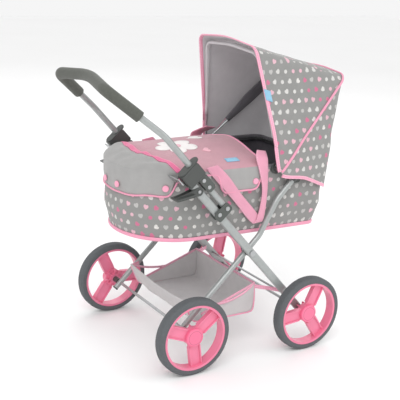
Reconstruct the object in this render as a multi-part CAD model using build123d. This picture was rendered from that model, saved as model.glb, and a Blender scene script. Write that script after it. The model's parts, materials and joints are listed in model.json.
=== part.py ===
from build123d import *
import os
from math import cos, radians, sin, tan

os.makedirs("parts", exist_ok=True)

# ---------------------------------------------------------------- driving dimensions (mm)
# +X is the travel direction (hood end), -X the handle end, +Y the left side, +Z up.
# X below is counted from a point MIDDLE_X behind the middle. Each saved solid is moved by it,
# so that the origin is on the floor under the middle of the bounding box.
WHEEL_R = 75.0
WHEEL_OUTER_Y = 177.0
TYRE_W = 22.6
TYRE_DEPTH = 11.0
FRONT_AXLE_X = 166.5
REAR_AXLE_X = -97.5
FRONT_LEG_ANGLE = 133.3
REAR_LEG_ANGLE = 45.0
AXLE_R = 3.0
AXLE_END_Y = 171.0
HUB_IN_Y = 149.0
HUB_OUT_Y = 168.0
HUB_R = 18.0
SPOKE_W = 24.0
SPOKE_TURNS = {"front_left": 80, "front_right": 65, "rear_left": 116, "rear_right": 39}
RUN = 0.05

FRONT_LEG_Y = 142.0
FRONT_LEG_WIDE = 16.0
FRONT_LEG_THICK = 8.0
FRONT_LEG_TOP = 405.0
REAR_LEG_Y = 127.0
REAR_TUBE_R = 5.5
TUBE_WALL = 1.2
REAR_LEG_BENDS = ((66.0, REAR_LEG_Y, 238.5), (101.0, REAR_LEG_Y, 305.0))
REAR_LEG_TOP = (148.0, REAR_LEG_Y - 1.6, 354.0)
SOCKET_R = 7.0
SCISSOR_RIVET_R = 3.0
BRACE_S = 41.5
BRACE_R = 2.2

HANDLE_TUBE_R = 6.0
HANDLE_OFFSET = 18.8
HANDLE_FOOT_S = 296.5
HANDLE_PIVOT_S = 302.2
HANDLE_BEND_S = 498.0
HANDLE_CORNER = (-254.0, 98.0, 526.0)
HANDLE_MIDDLE = (-239.0, 0.0, 537.0)
HANDLE_BEND_R = 60.0
HANDLE_CORNER_R = 20.0
HANDLE_MIDDLE_R = 160.0
GRIP_R = 10.5
GRIP_START = 0.42
PLATE_IN = (134.2, 135.8)
PLATE_OUT = (148.2, 149.8)
PLATE_RIVETS_S = (364.0, 382.0)
LEG_RIVET_S = 306.0
LEVER_PIN_S = 372.0
COLLAR_S = (390.0, 420.0)

COT_BOTTOM_Z = 241.0
COT_BILGE_Z = 284.0
COT_RIM_Z = 372.0
COT_HALF_W = 118.0
COT_NOSE_X = -186.0
COT_END_X = 226.0
COT_NOSE_R = 110.0
COT_END_R = 22.0
COT_TAPER = (8.0, 12.0, 6.0)
COT_WALL = 3.0
RIM_HOOP_Z = 364.0

HOOD_PIVOT = (98.0, 368.0)
HOOD_FRONT_ANGLE = 103.0
HOOD_REAR_ANGLE = 43.0
HOOD_HEM_ANGLE = -22.5
HOOD_CLOTH = 1.2
CROWN_R = 300.0
BOW_WIRE_R = 2.0
FRONT_BOW = (99.5, 129.2, (88, 214), 22.0)
REAR_BOW = (44.5, 124.6, (84, 226), 28.0)

APRON_END_X = 70.0
APRON_TOP_Z = 404.0
APRON_CROWN_R = 338.0
APRON_SLOPE = 3.5
APRON_SKIRT_Z = 328.0
STRAP_Y = (121.3, 122.8)
STRAP_TOP_Z = 386.0

BASKET_HALF_W = 110.0
BASKET_BOTTOM_Z = 70.0
BASKET_CLOTH = 2.0

WHEEL_Z = WHEEL_R
MIDDLE_X = 8.592


# ---------------------------------------------------------------- helpers
def meeting_point():
    """Where the front and rear legs cross, seen from the side."""
    front = -tan(radians(180 - FRONT_LEG_ANGLE))
    rear = tan(radians(REAR_LEG_ANGLE))
    x = (rear * REAR_AXLE_X - front * FRONT_AXLE_X) / (rear - front)
    return x, WHEEL_Z + rear * (x - REAR_AXLE_X)


PIVOT = meeting_point()


def on_leg(s, n=0.0):
    """X and Z of a point s along the front leg from its axle and n off its axis, forwards and up."""
    a = radians(FRONT_LEG_ANGLE)
    return FRONT_AXLE_X + s * cos(a) + n * sin(a), WHEEL_Z + s * sin(a) - n * cos(a)


def leg_plane(y):
    """A plane at the given Y whose local x runs up the front leg and local y off its axis."""
    a = radians(FRONT_LEG_ANGLE)
    return Plane(origin=(FRONT_AXLE_X, y, WHEEL_Z), x_dir=(cos(a), 0, sin(a)), z_dir=(0, 1, 0))


def side_plane(y):
    """A plane at the given Y whose local x is X and local y is Z. Extrusions go towards -Y."""
    return Plane(origin=(0, y, 0), x_dir=(1, 0, 0), z_dir=(0, -1, 0))


def cross_rod(x, z, y0, y1, r):
    """A round bar along Y between y0 and y1."""
    low, high = min(y0, y1), max(y0, y1)
    plane = Plane(origin=(x, low, z), x_dir=(1, 0, 0), z_dir=(0, 1, 0))
    return extrude(plane * Circle(r), amount=high - low)


def cross_plate(sketch, y0, y1):
    """Extrude a sketch drawn in the side plane (local x, y = X, Z) from y0 to y1."""
    low, high = min(y0, y1), max(y0, y1)
    return extrude(side_plane(high) * sketch, amount=high - low)


def leg_plate(sketch, y0, y1):
    """Extrude a sketch drawn in the leg plane (local x, y = s, n) from y0 to y1."""
    low, high = min(y0, y1), max(y0, y1)
    return extrude(leg_plane(low) * sketch, amount=high - low)


def leg_circle(s, n, r):
    return Pos(s, n) * Circle(r)


def link(points):
    """The outline around circles given as (x, y, radius)."""
    edges = Sketch() + [Pos(x, y) * Circle(r) for x, y, r in points]
    return make_hull(edges.edges())


def polygon(points):
    return make_face(Polyline(*points, close=True))


def bent_tube(points, radii, r_out, r_in=0.0):
    """A round tube or bar along straight runs joined by tangent arcs."""
    path = FilletPolyline(*points, radius=radii)
    start = Plane(origin=path @ 0, z_dir=path % 0)
    outer = sweep(start * Circle(r_out), path=path)
    if r_in:
        outer -= sweep(start * Circle(r_in), path=path)
    return outer


def rounded_outline(x0, x1, half_w, r0, r1, z):
    """A plan outline with corner radius r0 at the handle end and r1 at the hood end."""
    face = make_face(Polyline((x0, -half_w), (x1, -half_w), (x1, half_w), (x0, half_w), close=True))
    face = fillet(face.vertices().group_by(Axis.X)[0], r0)
    return Pos(0, 0, z) * fillet(face.vertices().group_by(Axis.X)[-1], r1)


def right_hand(shape):
    return mirror(shape, about=Plane.XZ)


def both_sides(shape):
    """The given left-hand solid and its right-hand mirror image."""
    return [shape, right_hand(shape)]


def save(node, *shapes):
    """Write one node, centred in X: a single solid, or a group of separate solids."""
    solids = []
    for shape in shapes:
        solids.extend((Pos(-MIDDLE_X, 0, 0) * shape).solids())
    whole = solids[0] if len(solids) == 1 else Compound(children=solids)
    export_step(whole, f"parts/{node}.step")


def pair(node, left):
    """One node that holds the left-hand solid and its mirror image."""
    save(node, *both_sides(left))


def left_and_right(node, left):
    """Two nodes, one for each side."""
    save(f"{node}_left", left)
    save(f"{node}_right", right_hand(left))


# ---------------------------------------------------------------- legs, axles and rivets
def front_leg():
    """Flat-oval tube from the front axle up to the lock collar, with its cross holes."""
    half = FRONT_LEG_WIDE / 2
    length = FRONT_LEG_TOP + 12
    base = on_leg(-12)
    a = radians(FRONT_LEG_ANGLE)
    end = Plane(origin=(base[0], FRONT_LEG_Y, base[1]), x_dir=(0, 1, 0), z_dir=(cos(a), 0, sin(a)))
    outer = extrude(end * SlotOverall(FRONT_LEG_WIDE, FRONT_LEG_THICK, rotation=90), amount=length)
    inner = extrude(
        end * SlotOverall(FRONT_LEG_WIDE - 2 * TUBE_WALL, FRONT_LEG_THICK - 2 * TUBE_WALL, rotation=90),
        amount=length,
    )
    tube = outer - inner
    holes = [
        ((FRONT_AXLE_X, WHEEL_Z), AXLE_R),
        (on_leg(BRACE_S), BRACE_R),
        (PIVOT, SCISSOR_RIVET_R + RUN),
        (on_leg(LEG_RIVET_S), 2.0),
        (on_leg(LEVER_PIN_S), 1.8),
    ]
    for (x, z), r in holes:
        tube -= cross_rod(x, z, FRONT_LEG_Y - half, FRONT_LEG_Y + half, r)
    return tube


def rear_leg():
    """Round tube from the rear axle up to its socket on the carrycot, with a double bend."""
    low = 14.0
    a = radians(REAR_LEG_ANGLE)
    start = (REAR_AXLE_X - low * cos(a), REAR_LEG_Y, WHEEL_Z - low * sin(a))
    points = [start, *REAR_LEG_BENDS, REAR_LEG_TOP]
    tube = bent_tube(points, [45.0, 45.0], REAR_TUBE_R, REAR_TUBE_R - TUBE_WALL)
    for (x, z), r in [((REAR_AXLE_X, WHEEL_Z), AXLE_R), (PIVOT, SCISSOR_RIVET_R)]:
        tube -= cross_rod(x, z, REAR_LEG_Y - 8, REAR_LEG_Y + 8, r)
    return tube


def rear_leg_plug():
    """Plastic plug that closes the lower end of a rear leg."""
    a = radians(REAR_LEG_ANGLE)
    mouth = Plane(
        origin=(REAR_AXLE_X - 14 * cos(a), REAR_LEG_Y, WHEEL_Z - 14 * sin(a)), z_dir=(-cos(a), 0, -sin(a))
    )
    head = extrude(mouth * Circle(REAR_TUBE_R + 0.4), amount=2.5)
    head = fillet(head.edges().group_by(Axis((0, 0, 0), (-cos(a), 0, -sin(a))))[-1], 1.0)
    return head + extrude(mouth * Circle(REAR_TUBE_R - TUBE_WALL), amount=-6.5)


def front_leg_plug():
    """Plastic plug that closes the lower end of a front leg."""
    a = radians(FRONT_LEG_ANGLE)
    base = on_leg(-12)
    mouth = Plane(origin=(base[0], FRONT_LEG_Y, base[1]), x_dir=(0, 1, 0), z_dir=(-cos(a), 0, -sin(a)))
    head = extrude(mouth * SlotOverall(FRONT_LEG_WIDE + 1, FRONT_LEG_THICK + 1, rotation=90), amount=2.5)
    stem = SlotOverall(FRONT_LEG_WIDE - 2 * TUBE_WALL, FRONT_LEG_THICK - 2 * TUBE_WALL, rotation=90)
    return head + extrude(mouth * stem, amount=-6.5)


def axle(x):
    return cross_rod(x, WHEEL_Z, -AXLE_END_Y, AXLE_END_Y, AXLE_R)


def axle_clip(x):
    """Push-on cap that keeps a wheel on its axle."""
    cap = cross_rod(x, WHEEL_Z, HUB_OUT_Y + 0.3, AXLE_END_Y + 1.2, 6.0)
    cap = fillet(cap.edges().group_by(Axis.Y)[-1], 1.0)
    return cap - cross_rod(x, WHEEL_Z, HUB_OUT_Y, AXLE_END_Y, AXLE_R)


def spacer(x, y0, y1):
    """Plastic sleeve on the axle between a leg and a wheel."""
    return cross_rod(x, WHEEL_Z, y0, y1, 6.0) - cross_rod(x, WHEEL_Z, y0, y1, AXLE_R)


def scissor_rivet():
    x, z = PIVOT
    inner, outer = REAR_LEG_Y - REAR_TUBE_R, FRONT_LEG_Y + FRONT_LEG_THICK / 2
    shank = cross_rod(x, z, inner - 0.2, outer + 0.3, SCISSOR_RIVET_R)
    heads = cross_rod(x, z, inner - 2.0, inner - 0.2, 5.5) + cross_rod(x, z, outer + 0.3, outer + 2.3, 6.0)
    return shank + heads


def scissor_washer():
    x, z = PIVOT
    y0, y1 = REAR_LEG_Y + REAR_TUBE_R + 0.2, FRONT_LEG_Y - FRONT_LEG_THICK / 2 - 0.2
    return cross_rod(x, z, y0, y1, 8.0) - cross_rod(x, z, y0, y1, SCISSOR_RIVET_R)


def front_brace():
    """Thin cross rod that keeps the front legs apart, peened over outside each leg."""
    x, z = on_leg(BRACE_S)
    outer = FRONT_LEG_Y + FRONT_LEG_THICK / 2
    rod = cross_rod(x, z, -outer, outer, BRACE_R)
    for side in (-1, 1):
        rod += cross_rod(x, z, side * outer, side * (outer + 1.5), BRACE_R + 1.6)
    return rod


# ---------------------------------------------------------------- handle, lock and brackets
def rivet(s, n, r, y_span, head):
    x, z = on_leg(s, n)
    shank = cross_rod(x, z, y_span[0], y_span[1], r)
    inner = cross_rod(x, z, y_span[0] - 1.2, y_span[0], head)
    outer = cross_rod(x, z, y_span[1], y_span[1] + 1.2, head)
    return shank + inner + fillet(outer.edges().group_by(Axis.Y)[-1], 0.8)


def handle_bracket():
    """Two plates riveted to the front leg, between which the handle tube turns."""
    outline = link([(299, -4, 6), (308, -4, 6), (299, 21, 6), (308, 21, 6)])
    outline -= leg_circle(LEG_RIVET_S, 0, 2.0) + leg_circle(HANDLE_PIVOT_S, HANDLE_OFFSET, 2.5)
    return leg_plate(outline, *PLATE_IN), leg_plate(outline, *PLATE_OUT)


def lock_plates():
    """Two plates riveted to the handle tube beside the lock lever."""
    outline = link([(359, 17, 5), (385, 17, 5), (359, 25, 5), (385, 25, 5)])
    for s in PLATE_RIVETS_S:
        outline -= leg_circle(s, HANDLE_OFFSET, 2.0)
    return leg_plate(outline, *PLATE_IN), leg_plate(outline, *PLATE_OUT)


def handle_points():
    """Centre line of the whole handle tube, left foot to right foot."""
    foot = on_leg(HANDLE_FOOT_S, HANDLE_OFFSET)
    bend = on_leg(HANDLE_BEND_S, HANDLE_OFFSET)
    left = [(foot[0], FRONT_LEG_Y, foot[1]), (bend[0], FRONT_LEG_Y, bend[1]), HANDLE_CORNER]
    right = [(x, -y, z) for x, y, z in reversed(left)]
    return left + [HANDLE_MIDDLE] + right


def handle_tube():
    radii = [HANDLE_BEND_R, HANDLE_CORNER_R, HANDLE_MIDDLE_R, HANDLE_CORNER_R, HANDLE_BEND_R]
    tube = bent_tube(handle_points(), radii, HANDLE_TUBE_R, HANDLE_TUBE_R - TUBE_WALL)
    for s, r in ((HANDLE_PIVOT_S, 2.5 + RUN), *[(s, 2.0) for s in PLATE_RIVETS_S]):
        x, z = on_leg(s, HANDLE_OFFSET)
        tube -= cross_rod(x, z, -160, 160, r)
    return tube


def foam_grip():
    points = handle_points()
    bend, corner = Vector(*points[1]), Vector(*points[2])
    start = bend + (corner - bend) * GRIP_START
    end = Vector(start.X, -start.Y, start.Z)
    route = [start, corner, Vector(*points[3]), Vector(*points[4]), end]
    radii = [HANDLE_CORNER_R, HANDLE_MIDDLE_R, HANDLE_CORNER_R]
    grip = bent_tube(route, radii, GRIP_R, HANDLE_TUBE_R)
    ends = grip.edges().filter_by(GeomType.CIRCLE).sort_by(Axis.X)[-4:]
    return fillet([e for e in ends if e.radius > GRIP_R - 1], 1.5)


def lock_collar():
    """Sliding collar round the handle tube, with a channel that covers the top of the front leg."""
    s0, s1 = COLLAR_S
    outline = polygon([(s0, -9), (s1, -9), (s1, 31), (s0, 31)])
    block = leg_plate(outline, FRONT_LEG_Y - 8, FRONT_LEG_Y + 11)
    block = fillet(block.edges().filter_by(Axis.Y), 4.0)
    block = fillet(block.edges().group_by(Axis.Y)[-1], 2.0)
    channel = polygon([(s0 - 1, -12), (s0 + 18, -12), (s0 + 18, 8.6), (s0 - 1, 8.6)])
    half = FRONT_LEG_THICK / 2 + 0.3
    block -= leg_plate(channel, FRONT_LEG_Y - half, FRONT_LEG_Y + half)
    return block - handle_bore(s0 - 2, s1 + 2)


def handle_bore(s0, s1):
    """The running clearance hole for the handle tube between two stations."""
    low = on_leg(s0, HANDLE_OFFSET)
    a = radians(FRONT_LEG_ANGLE)
    start = Plane(origin=(low[0], FRONT_LEG_Y, low[1]), z_dir=(cos(a), 0, sin(a)))
    return extrude(start * Circle(HANDLE_TUBE_R + RUN), amount=s1 - s0)


def collar_flange():
    """Oval finger flange on top of the lock collar."""
    s0 = COLLAR_S[1]
    low = on_leg(s0, 0)
    a = radians(FRONT_LEG_ANGLE)
    start = Plane(origin=(low[0], FRONT_LEG_Y, low[1]), x_dir=(0, 1, 0), z_dir=(cos(a), 0, sin(a)))
    oval = link([(0, -n, 9.5) for n in (1, 29)])
    disc = extrude(start * oval, amount=3.2)
    disc = fillet(disc.edges().filter_by(lambda e: e.length > 20), 1.0)
    return disc - handle_bore(s0 - 2, s0 + 8)


def release_lever():
    """Channel-shaped lever astride the front leg, with a wide finger paddle."""
    cheek = link([(LEVER_PIN_S, 0, 8), (379, -13, 6), (393, -38, 4)])
    cheek -= leg_circle(LEVER_PIN_S, 0, 1.8 + RUN)
    gap = FRONT_LEG_THICK / 2 + 0.4
    lever = leg_plate(cheek, FRONT_LEG_Y + gap, FRONT_LEG_Y + gap + 1.6)
    lever += leg_plate(cheek, FRONT_LEG_Y - gap - 1.6, FRONT_LEG_Y - gap)
    paddle = polygon([(376, -11.5), (378.5, -10.5), (399, -43), (396, -44)])
    return lever + leg_plate(paddle, FRONT_LEG_Y - 12, FRONT_LEG_Y + 12)


def lever_pin():
    gap = FRONT_LEG_THICK / 2 + 2.2
    return rivet(LEVER_PIN_S, 0, 1.8, (FRONT_LEG_Y - gap, FRONT_LEG_Y + gap), 3.2)


# ---------------------------------------------------------------- wheels
def wheel_parts(x, spoke_turn):
    """Tyre, three-spoke wheel and hub cap of a left-hand wheel."""
    y0, y1 = WHEEL_OUTER_Y - TYRE_W, WHEEL_OUTER_Y
    rim_r = WHEEL_R - TYRE_DEPTH
    tyre = cross_rod(x, WHEEL_Z, y0, y1, WHEEL_R)
    tyre = fillet(tyre.edges(), 6.0) - cross_rod(x, WHEEL_Z, y0, y1, rim_r)
    rim = cross_rod(x, WHEEL_Z, y0 + 1, y1 - 0.6, rim_r) - cross_rod(x, WHEEL_Z, y0, y1, rim_r - 4.5)
    hub = cross_rod(x, WHEEL_Z, y0 + 4, HUB_OUT_Y, HUB_R)
    boss = cross_rod(x, WHEEL_Z, HUB_IN_Y, y0 + 4, 10.0)
    wheel = rim + hub + boss
    for k in range(3):
        turn = Pos(x, 0, WHEEL_Z) * Rot(0, -(spoke_turn + 120 * k), 0)
        web = turn * Pos(36.5, 165.5, 0) * Box(49, 5, SPOKE_W)
        ribs = [turn * Pos(40.5, 165.5, side * (SPOKE_W / 2 - 1.3)) * Box(42, 10, 2.6) for side in (-1, 1)]
        wheel += [web, *ribs]
    for k in range(8):
        turn = Pos(x, 0, WHEEL_Z) * Rot(0, 45 * k, 0)
        wheel += turn * Pos(13.5, 153.5, 0) * Box(9, 5, 2)
    wheel -= cross_rod(x, WHEEL_Z, HUB_IN_Y - 1, HUB_OUT_Y + 1, AXLE_R + RUN)
    cap = cross_rod(x, WHEEL_Z, HUB_OUT_Y, HUB_OUT_Y + 7.5, HUB_R)
    cap = fillet(cap.edges().group_by(Axis.Y)[-1], 3.0)
    cap -= cross_rod(x, WHEEL_Z, HUB_OUT_Y, AXLE_END_Y + 2.0, 8.0)
    return tyre, wheel, cap


def save_wheel(where, x):
    """The three nodes of one wheel; a right-hand wheel is the mirror image of a left-hand one."""
    for name, solid in zip(("tyre", "wheel", "hub_cap"), wheel_parts(x, SPOKE_TURNS[where])):
        save(f"{name}_{where}", solid if where.endswith("left") else right_hand(solid))


# ---------------------------------------------------------------- carrycot
def cot_outline(z, inset=0.0):
    """Plan outline of the carrycot at a height; nose, end and sides taper towards the bottom."""
    low = max(0.0, (COT_BILGE_Z - z) / (COT_BILGE_Z - COT_BOTTOM_Z))
    nose, end = COT_NOSE_X + COT_TAPER[0] * low + inset, COT_END_X - COT_TAPER[1] * low - inset
    half = COT_HALF_W - COT_TAPER[2] * low - inset
    return rounded_outline(nose, end, half, COT_NOSE_R - inset, COT_END_R - inset, z)


def cot_shell():
    """Fabric walls and bottom of the carrycot, open at the top."""
    lower = loft([cot_outline(COT_BOTTOM_Z), cot_outline(COT_BILGE_Z)], ruled=True)
    upper = extrude(cot_outline(COT_BILGE_Z), amount=COT_RIM_Z - COT_BILGE_Z)
    bilge_in = cot_outline(COT_BILGE_Z, COT_WALL)
    low_in = loft([cot_outline(COT_BOTTOM_Z + COT_WALL, COT_WALL), bilge_in], ruled=True)
    up_in = extrude(bilge_in, amount=COT_RIM_Z - COT_BILGE_Z + 1)
    return lower + upper - low_in - up_in


def cot_floor():
    return extrude(cot_outline(COT_BOTTOM_Z + 4, 5.5), amount=4.0)


def mattress():
    pad = extrude(cot_outline(COT_BOTTOM_Z + 8.5, 9.0), amount=24.0)
    return fillet(pad.edges().group_by(Axis.Z)[-1], 6.0)


def cot_rim():
    """Flat-section hoop inside the top edge of the carrycot fabric."""
    outer, inner = [extrude(cot_outline(RIM_HOOP_Z, inset), amount=6.0) for inset in (3.3, 9.3)]
    return outer - inner


def cot_socket():
    """Plastic socket on the carrycot's side that takes the top of a rear leg."""
    pad = cross_plate(link([(x, z, 6) for x in (138, 154) for z in (338, 354)]), 118.3, 119.7)
    low, top = Vector(*REAR_LEG_BENDS[1]), Vector(*REAR_LEG_TOP)
    run = (top - low).normalized()
    cup = extrude(Plane(origin=top - run * 20, z_dir=run) * Circle(SOCKET_R), amount=22)
    bore = extrude(Plane(origin=low, z_dir=run) * Circle(REAR_TUBE_R), amount=(top - low).length)
    return pad + cup - bore


def cot_hanger():
    """Steel strip from the carrycot's side that hooks behind the top of the front leg."""
    strip = polygon([(406, -13), (420, -13), (420, -15), (406, -15)])
    return leg_plate(strip, 108.6, 147.0)


def hood_hinge():
    """Hub and pin on the carrycot's side that both hood bows turn on."""
    x, z = HOOD_PIVOT
    hub = cross_rod(x, z - 2, 118.3, 121.0, 11.0)
    pin = cross_rod(x, z, 121.0, 130.4, 2.5)
    return hub + pin + cross_rod(x, z, 130.4, 131.9, 4.5)


# ---------------------------------------------------------------- hood
def hood_plane(angle, shift=0.0):
    """A plane through the hood's hinge line; local x is Y, local y runs out from the hinge."""
    a = radians(angle)
    normal = Vector(sin(a), 0, -cos(a))
    origin = Vector(HOOD_PIVOT[0], 0, HOOD_PIVOT[1]) + normal * shift
    return Plane(origin=origin, x_dir=(0, 1, 0), z_dir=normal)


# Each rib: angle, then half width and distance from the hinge at its foot, its knee and its top
# corner, the rise of the top in the middle, and the corner radius.
FRONT_RIB = (HOOD_FRONT_ANGLE, (134.5, 8), (128, 48), (97, 231), 10, 20)
REAR_RIB = (HOOD_REAR_ANGLE, (134.5, 8), (133, 48), (93, 240), 10, 30)
HEM_RIB = (HOOD_HEM_ANGLE, (135.5, 8), (135.5, 56), (120.5, 141), 2, 24)


def rib_face(rib, inset=0.0, shift=0.0, foot_drop=0.0, turn=0.0):
    """The face inside a rib, or inside its cloth when inset is the cloth's thickness."""
    angle, foot, knee, corner, rise, radius = rib
    left = [
        (-(foot[0] - inset), foot[1] - foot_drop),
        (-(knee[0] - inset), knee[1]),
        (-(corner[0] - inset), corner[1] - inset),
    ]
    top = (0, corner[1] + rise - inset)
    points = left + [top] + [(-x, y) for x, y in reversed(left)]
    face = polygon(points)
    corners = [v for v in face.vertices() if abs(v.Y - left[2][1]) < 0.01]
    face = fillet(corners, radius - inset)
    crown = [v for v in face.vertices() if abs(v.X) < 0.01]
    return hood_plane(angle + turn, shift) * fillet(crown, CROWN_R)


def hood_sheet(first, last, start_shift=0.0, end_shift=0.0):
    """One sheet of cloth stretched between two ribs, open at its feet and along both ribs."""
    outer = loft([rib_face(first, shift=start_shift), rib_face(last, shift=end_shift)], ruled=True)
    ends = [rib_face(rib, HOOD_CLOTH, foot_drop=12, turn=turn) for rib, turn in ((first, 1.5), (last, -1.5))]
    return outer - loft(ends, ruled=True)


def hood_canopy():
    """Front part of the hood: one sheet stretched between the front and rear bows."""
    return hood_sheet(FRONT_RIB, REAR_RIB, end_shift=-0.25)


def hood_back_panel():
    """Rear part of the hood, from the rear bow down to the hem round the end of the carrycot."""
    return hood_sheet(REAR_RIB, HEM_RIB, start_shift=0.25)


def hood_bow(angle, y_foot, corner, radius):
    """Wire bow with a flat eye at each end that turns on the hood's hinge pin.
    corner is the half width and the distance from the hinge at its top corners."""
    a = radians(angle)

    def at(y, reach):
        return (HOOD_PIVOT[0] + reach * cos(a), y, HOOD_PIVOT[1] + reach * sin(a))

    y_top, reach = corner
    route = [at(y_foot, 5), at(y_top, reach), at(0, reach + 6), at(-y_top, reach), at(-y_foot, 5)]
    bow = bent_tube(route, [radius, 200.0, radius], BOW_WIRE_R)
    x, z = HOOD_PIVOT
    for side in (-1, 1):
        y0, y1 = side * (y_foot - 0.9), side * (y_foot + 0.9)
        bow += cross_rod(x, z, y0, y1, 6.5)
        bow -= cross_rod(x, z, side * (y_foot - 3), side * (y_foot + 3), 2.5 + RUN)
    return bow


# ---------------------------------------------------------------- apron, straps, basket
def apron():
    """Padded cover over the foot end, with a skirt round the nose and a flap on each side."""
    seam_z = COT_RIM_Z + 1.2
    plan = rounded_outline(COT_NOSE_X - 4, APRON_END_X, COT_HALF_W + 3, COT_NOSE_R + 3, 6, seam_z)
    slab = extrude(plan, amount=40)
    lie = Pos(APRON_END_X, 0, APRON_TOP_Z - APRON_CROWN_R) * Rot(0, -APRON_SLOPE, 0) * Rot(0, 90, 0)
    crown = lie * Cylinder(APRON_CROWN_R, 700)
    under = Pos(0, 0, -5) * crown
    top = slab & crown
    inner = rounded_outline(COT_NOSE_X - 1, APRON_END_X + 5, COT_HALF_W - 3, COT_NOSE_R, 6, COT_RIM_Z)
    top -= extrude(inner, amount=40) & under
    skirt = extrude(Pos(0, 0, APRON_SKIRT_Z - seam_z) * plan, amount=seam_z - APRON_SKIRT_Z)
    hollow = rounded_outline(
        COT_NOSE_X - 0.5, APRON_END_X + 9, COT_HALF_W + 0.5, COT_NOSE_R + 0.5, 6, APRON_SKIRT_Z - 1
    )
    skirt -= extrude(hollow, amount=50)
    foot = skirt & Pos(COT_NOSE_X, 0, 350) * Box(110, 300, 100)
    flap = cross_plate(link([(-26, 340, 9), (56, 340, 9), (-26, 370, 9), (56, 370, 9)]), 90, 140)
    flap += right_hand(flap)
    sides = skirt & flap
    return top + foot + sides


def apron_button_places():
    """X, Y and Z of the left-hand snap buttons, and the way each one faces in the XY plane."""
    r = COT_NOSE_R + 3
    middle_x, middle_y = COT_NOSE_X - 4 + r, COT_HALF_W + 3 - r
    places = [(52.0, COT_HALF_W + 3.1, 345.0, 90)]
    for facing, z in ((120.3, 345.0), (172.1, 338.0)):
        a = radians(facing)
        places.append((middle_x + (r + 0.1) * cos(a), middle_y + (r + 0.1) * sin(a), z, facing))
    return places


def apron_button(x, y, z, facing):
    plane = Plane(origin=(x, y, z), z_dir=(cos(radians(facing)), sin(radians(facing)), 0))
    button = extrude(plane * Circle(6.0), amount=2.6)
    return fillet(button.edges().group_by(Axis(plane.origin, plane.z_dir))[-1], 1.2)


def carry_strap():
    """Webbing loop on the carrycot's side: down from the rim, round and back up over it."""
    drop = polygon([(-71, 384), (-44, 384), (58, 281), (72, 272), (48, 270)])
    rise = polygon([
        (48, 270), (72, 272), (80, 325), (76, STRAP_TOP_Z), (50, STRAP_TOP_Z), (65, 330), (58, 281),
    ])
    loop = cross_plate(drop, *STRAP_Y) + cross_plate(rise, *STRAP_Y)
    lean = Plane(origin=(0, STRAP_Y[1], STRAP_TOP_Z), x_dir=(1, 0, 0), z_dir=(0, -0.6, -0.8))
    over = extrude(lean * polygon([(50, 0), (76, 0), (80, 22), (58, 18)]), amount=1.5)
    return loop + over


def basket():
    """Fabric sling: bottom with front and rear panels, open at the sides."""
    t = BASKET_CLOTH
    low = BASKET_BOTTOM_Z
    outer = [(-84, 119), (-62, low), (79, low), (76, 130)]
    inner = [(76 - t, 130), (79 - t, low + t), (-62 + 1.6 * t, low + t), (-84 + 1.1 * t, 119)]
    return cross_plate(polygon(outer + inner), -BASKET_HALF_W, BASKET_HALF_W)


def basket_side_strap():
    """Edge webbing that joins the basket's front and rear corners."""
    top = [(-83, 119), (-30, 112), (30, 114), (76, 130)]
    strap = polygon(top + [(76, 122), (30, 106), (-30, 104), (-81, 111)])
    return cross_plate(strap, BASKET_HALF_W + 0.3, BASKET_HALF_W + 1.8)


def basket_ties():
    """Short webbing tabs from the basket's corners to the legs."""
    y0 = BASKET_HALF_W + 2.0
    rear = polygon([(-84, y0), (-76, y0), (-53.5, 121.3), (-61.5, 121.3)])
    front = polygon([(71, y0), (79, y0), (122, 137.5), (114, 137.5)])
    return extrude(Pos(0, 0, 111) * rear, amount=8), extrude(Pos(0, 0, 117) * front, amount=8)


# ---------------------------------------------------------------- write every node
left_and_right("front_leg", front_leg())
left_and_right("rear_leg", rear_leg())
pair("front_leg_plugs", front_leg_plug())
pair("rear_leg_plugs", rear_leg_plug())
save("front_axle", axle(FRONT_AXLE_X))
save("rear_axle", axle(REAR_AXLE_X))
pair("front_axle_clips", axle_clip(FRONT_AXLE_X))
pair("rear_axle_clips", axle_clip(REAR_AXLE_X))
pair("front_spacers", spacer(FRONT_AXLE_X, FRONT_LEG_Y + 4.2, HUB_IN_Y - 0.3))
pair("rear_spacers", spacer(REAR_AXLE_X, REAR_LEG_Y + REAR_TUBE_R + 0.2, HUB_IN_Y - 0.3))
pair("scissor_rivets", scissor_rivet())
pair("scissor_washers", scissor_washer())
save("front_brace", front_brace())

brackets = handle_bracket()
save("handle_brackets", *both_sides(brackets[0]), *both_sides(brackets[1]))
pair("bracket_rivets", rivet(LEG_RIVET_S, 0, 2.0, (PLATE_IN[0], PLATE_OUT[1]), 4.0))
pair("handle_pivots", rivet(HANDLE_PIVOT_S, HANDLE_OFFSET, 2.5, (PLATE_IN[0], PLATE_OUT[1]), 4.2))
plates = lock_plates()
save("lock_plates", *both_sides(plates[0]), *both_sides(plates[1]))
plate_rivets = [rivet(s, HANDLE_OFFSET, 2.0, (PLATE_IN[0], PLATE_OUT[1]), 3.8) for s in PLATE_RIVETS_S]
save("plate_rivets", *both_sides(plate_rivets[0]), *both_sides(plate_rivets[1]))
save("handle_tube", handle_tube())
save("foam_grip", foam_grip())
left_and_right("lock_collar", lock_collar())
left_and_right("collar_flange", collar_flange())
left_and_right("release_lever", release_lever())
pair("lever_pins", lever_pin())

save_wheel("front_left", FRONT_AXLE_X)
save_wheel("front_right", FRONT_AXLE_X)
save_wheel("rear_left", REAR_AXLE_X)
save_wheel("rear_right", REAR_AXLE_X)

save("cot_shell", cot_shell())
save("cot_floor", cot_floor())
save("cot_rim", cot_rim())
save("mattress", mattress())
pair("cot_sockets", cot_socket())
pair("cot_hangers", cot_hanger())
pair("hood_hinges", hood_hinge())
save("hood_canopy", hood_canopy())
save("hood_back_panel", hood_back_panel())
save("hood_front_bow", hood_bow(*FRONT_BOW))
save("hood_rear_bow", hood_bow(*REAR_BOW))

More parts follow.
